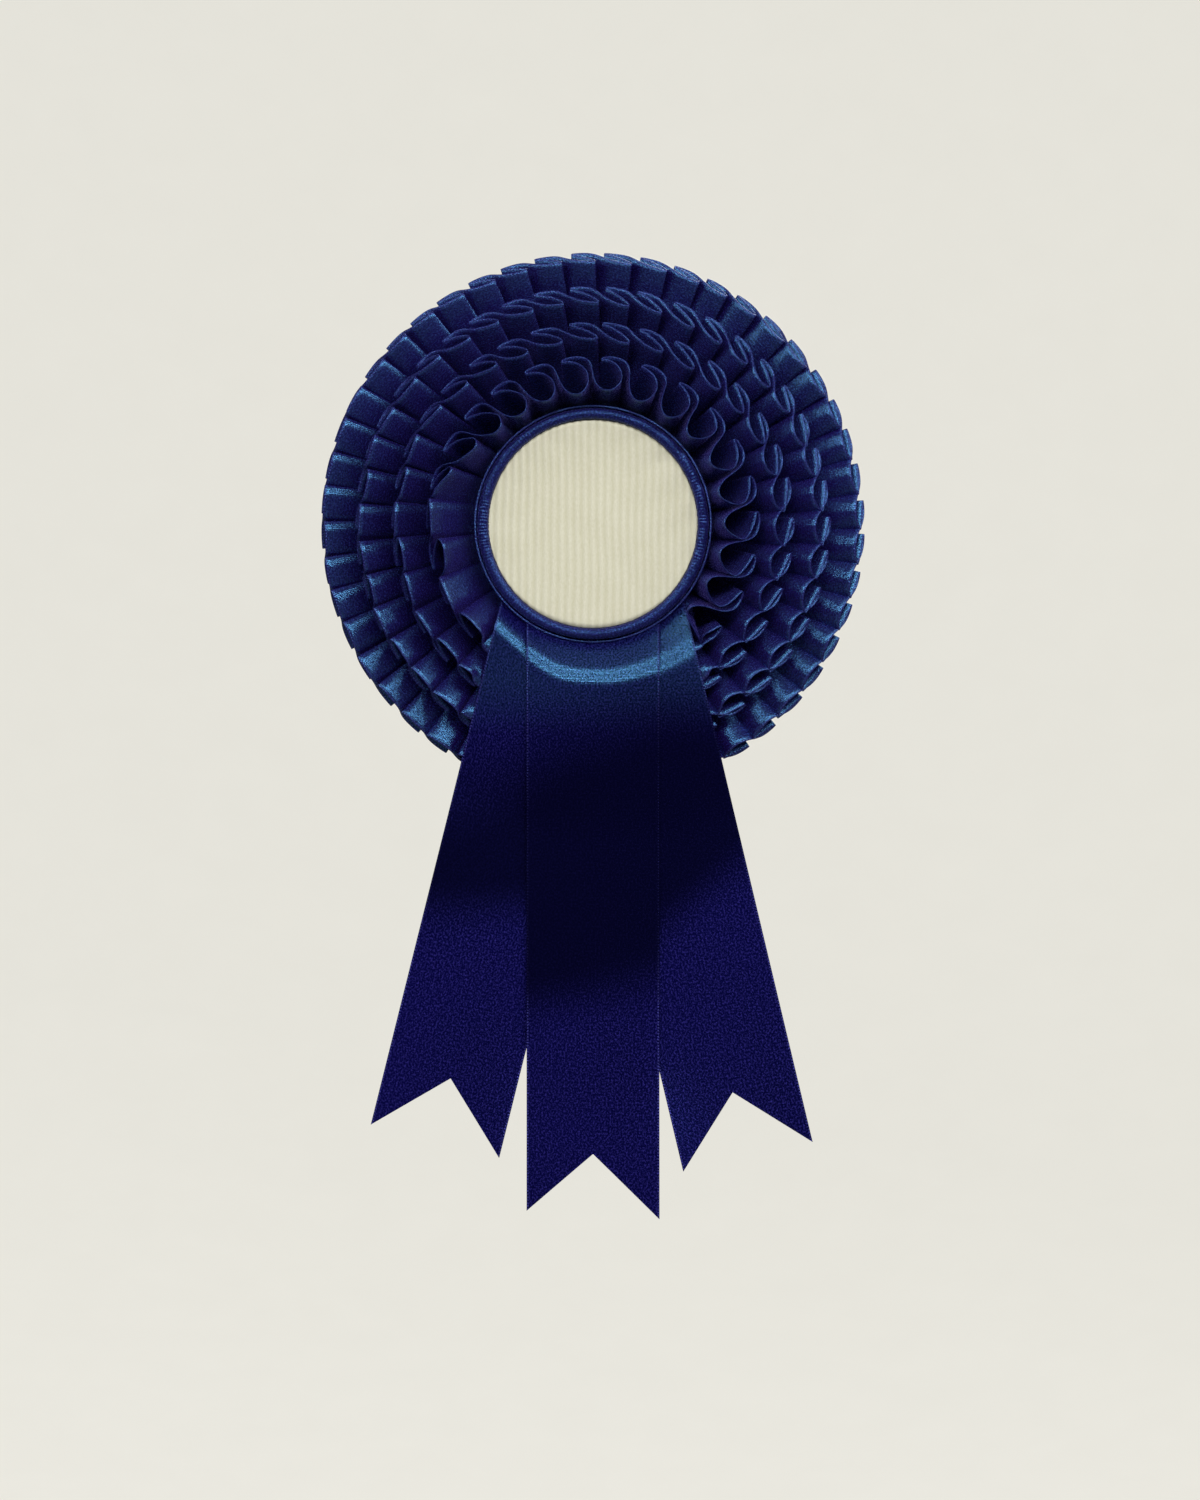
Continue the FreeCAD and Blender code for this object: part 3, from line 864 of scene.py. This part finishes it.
def make_centre_card(material):
    """The plain centre card, with upright laid ribs."""
    spread = np.linspace(-math.pi / 2, math.pi / 2, CARD_COLUMNS)
    x = CENTRE_RADIUS * np.sin(spread) * CARD_FIT
    half = np.sqrt(CENTRE_RADIUS**2 - x**2)
    random = np.random.default_rng(CARD_SEED)
    z = np.linspace(-1, 1, CARD_ROWS)[:, None] * half
    face_depth = -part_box("centre_card")[0].y / MM
    phase = 0.5 * np.sin(z / 9 + x / 7) + 0.3 * np.sin(z / 4.3 + 1.7)
    ribs = CARD_RIB_HEIGHT * np.cos(2 * math.pi * x / CARD_RIB_PITCH + phase)
    ribs = ribs * (1 + CARD_RIB_CHANCE * random.standard_normal(z.shape)) - 1.3 * CARD_RIB_HEIGHT
    points = np.stack([np.broadcast_to(x, z.shape), -(face_depth + ribs), z], axis=-1)
    rib_place = points[..., 0] + phase * CARD_RIB_PITCH / (2 * math.pi)
    uv = np.stack([points[..., 2], rib_place], axis=-1)
    piece = grid_mesh("centre_card_face", points, uv)
    thicken(piece, CARD_THICKNESS, offset=-1.0)
    paint(piece, material)
    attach(piece, "rosette")
    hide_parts("centre_card")


def ring_mesh(name, radius, wire, depth, steps, relief):
    """A ring whose wire's radius is changed by relief(turn, side), both angles."""
    round_steps, wire_steps = steps
    turn = np.arange(round_steps) * 2 * math.pi / round_steps
    side = np.linspace(0, 2 * math.pi, wire_steps + 1)
    turns, sides = np.meshgrid(turn, side)
    thick = wire + relief(turns, sides)
    out = radius + thick * np.cos(sides)
    deep = depth + thick * np.sin(sides)
    points = np.stack([out * np.sin(turns), -deep, out * np.cos(turns)], axis=-1)
    run = np.arange(round_steps + 1) * 2 * math.pi * radius / round_steps
    uv = np.stack(np.meshgrid(run, side * wire), axis=-1)
    piece = grid_mesh(name, points, uv, closed=True)
    weld = piece.modifiers.new("weld", "WELD")
    weld.merge_threshold = 0.001 * MM
    apply_modifiers(piece)
    return piece


def make_rim(material):
    """Satin rolled over the centre's edge, drawn into fine gathers."""

    def gathers(turn, side):
        fine = GATHER_HEIGHT * np.sin(turn * RIM_GATHERS) * (1 + 0.3 * np.sin(turn * 7))
        return fine - 0.05 + 0.012 * np.sin(turn * 83 + 2 * side)

    piece = ring_mesh("centre_rim_roll", RIM_RADIUS, RIM_WIRE, RIM_DEPTH, RIM_STEPS, gathers)
    paint(piece, material)
    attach(piece, "rosette")
    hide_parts("centre_rim")


def make_piping(material):
    """Thin twisted piping outside the rim."""

    def twist(turn, side):
        return TWIST_HEIGHT * np.sin(turn * PIPING_TWISTS + 2 * side) - 0.03

    piece = ring_mesh(
        "rim_piping_cord", PIPING_RADIUS, PIPING_WIRE, PIPING_DEPTH, PIPING_STEPS, twist
    )
    paint(piece, material)
    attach(piece, "rosette")
    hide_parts("rim_piping")


# ---------------------------------------------------------------- stage and camera


def make_camera():
    data = bpy.data.cameras.new("camera")
    data.sensor_width = SENSOR_LONG_SIDE
    data.lens = SENSOR_LONG_SIDE * CAMERA_DISTANCE / FRAME_HEIGHT
    data.clip_start = 0.01
    data.clip_end = 20.0
    camera = bpy.data.objects.new("camera", data)
    camera.location = (CAMERA_TARGET[0] * MM, -CAMERA_DISTANCE * MM, CAMERA_TARGET[1] * MM)
    camera.rotation_euler = (math.pi / 2, 0, 0)
    bpy.context.scene.collection.objects.link(camera)
    bpy.context.scene.camera = camera


def make_bowl():
    """A pale floor that curves up all round into a backdrop, lit by itself, so that it
    looks pale without its light washing out the satin."""
    corners = [(0.0, FLOOR_Z), (BOWL_RADIUS, FLOOR_Z), (BOWL_RADIUS, BOWL_RADIUS)]
    profile = rounded_path(corners, [BOWL_BEND], steps=24)
    profile[0, 0] = BOWL_INNER
    turn = np.linspace(0, 2 * math.pi, BOWL_SIDES + 1)[:-1]
    out, up = profile[:, :1], profile[:, 1:]
    level = np.broadcast_to(up, (len(profile), BOWL_SIDES))
    points = np.stack([out * np.sin(turn), out * np.cos(turn), level], axis=-1)
    uv = np.zeros((len(points), BOWL_SIDES + 1, 2))
    floor = grid_mesh("floor", points / MM, uv, closed=True)
    g = Graph("floor_paint")
    speckle = g.noise(g.place(), 30.0, 3.0)
    seen = g.node("ShaderNodeLightPath").outputs["Is Camera Ray"]
    g.set(
        Base_Color=g.mix(speckle, rgb(120, 119, 116), rgb(130, 129, 126)),
        Roughness=1.0,
        Specular_IOR_Level=0.0,
        Emission_Color=rgb(250, 248, 238),
        Emission_Strength=g.math("MULTIPLY", seen, BACKDROP_GLOW),
    )
    paint(floor, g.material)


def area_light(name, place, size, power):
    """A rectangular light that aims at LIGHT_TARGET."""
    data = bpy.data.lights.new(name, "AREA")
    data.shape = "RECTANGLE"
    data.size, data.size_y = size
    data.energy = power
    light = bpy.data.objects.new(name, data)
    light.location = place
    away = np.array(place) - LIGHT_TARGET
    light.rotation_euler = (
        math.acos(away[2] / np.linalg.norm(away)),
        0,
        math.atan2(away[1], away[0]) + math.pi / 2,
    )
    bpy.context.scene.collection.objects.link(light)


def make_lights():
    for light in LIGHTS:
        area_light(*light)
    world = bpy.data.worlds.new("world")
    world.use_nodes = True
    background = world.node_tree.nodes["Background"]
    background.inputs["Color"].default_value = (0.95, 0.95, 0.92, 1)
    background.inputs["Strength"].default_value = WORLD_LIGHT
    bpy.context.scene.world = world
    bpy.context.scene.view_settings.view_transform = "Standard"


# ---------------------------------------------------------------- the model

make_camera()
make_bowl()
make_lights()

pleat_dark, pleat_light = rgb(12, 4, 50), rgb(26, 13, 82)
for tier in TIERS:
    inner, outer = tier.inner_radius, tier.rear_edge
    ribbon_width = math.hypot(outer[0] - inner, outer[1] - BASE_FRONT)
    finish = satin(f"{tier.name}_satin", ribbon_width, pleat_dark, pleat_light, veil=0.14)
    make_tier(tier, finish)

tail_dark, tail_light = rgb(3, 2, 40), rgb(7, 5, 61)
parent_body = "rosette"
for tail in TAILS:
    finish = satin(
        f"tail_{tail.name}_satin",
        TAIL_WIDTH,
        tail_dark,
        tail_light,
        veil=0.03,
        shine=0.9,
        polish=0.23,
        both_edges=True,
        shade=painted_tail_shade(tail),
    )
    head_run = make_tail_head(tail, finish)
    parent_body = make_tail(tail, head_run, finish)

make_centre_card(make_card_material())
rim_dark, rim_light = rgb(12, 8, 50), rgb(22, 18, 74)
make_rim(satin("rim_satin_finish", WRAP_WIDTH, rim_dark, rim_light, veil=0.2, shine=0.35))
piping_dark, piping_light = rgb(30, 26, 88), rgb(54, 52, 130)
make_piping(satin("piping_satin_finish", WRAP_WIDTH, piping_dark, piping_light, veil=0.25))

board = make_board_material("millboard_finish", rgb(142, 128, 104), rgb(182, 168, 142))
dark_board = make_board_material("base_board_finish", rgb(15, 15, 34), rgb(30, 30, 58))
thread = make_thread_material()
wire = make_metal_material("staple_wire_finish", rgb(196, 196, 200), 0.35, (300, 300, 300))
plating = make_metal_material("pin_plating_finish", rgb(214, 212, 206), 0.22, (60, 900, 900))
steel = make_metal_material("needle_steel_finish", rgb(205, 206, 210), 0.2, (60, 1200, 1200))
rivet = make_metal_material("rivet_finish", rgb(206, 202, 192), 0.28, (700, 700, 700))
FINISHES = {
    "base_card": dark_board,
    "centre_backing": board,
    "back_card": make_felt_material(),
    "foam_spacer": make_foam_material(),
    "tier_staples": wire,
    "tail_staples": wire,
    "card_rivets": rivet,
    "pin_hinge_rivet": rivet,
    "pin_bar": plating,
    "pin_catch": plating,
    "pin_needle": steel,
}
for node, finish in FINISHES.items():
    paint_node(node, finish)
for number in range(1, len(TIERS) + 1):
    paint_node(f"gather_thread_{number}", thread)
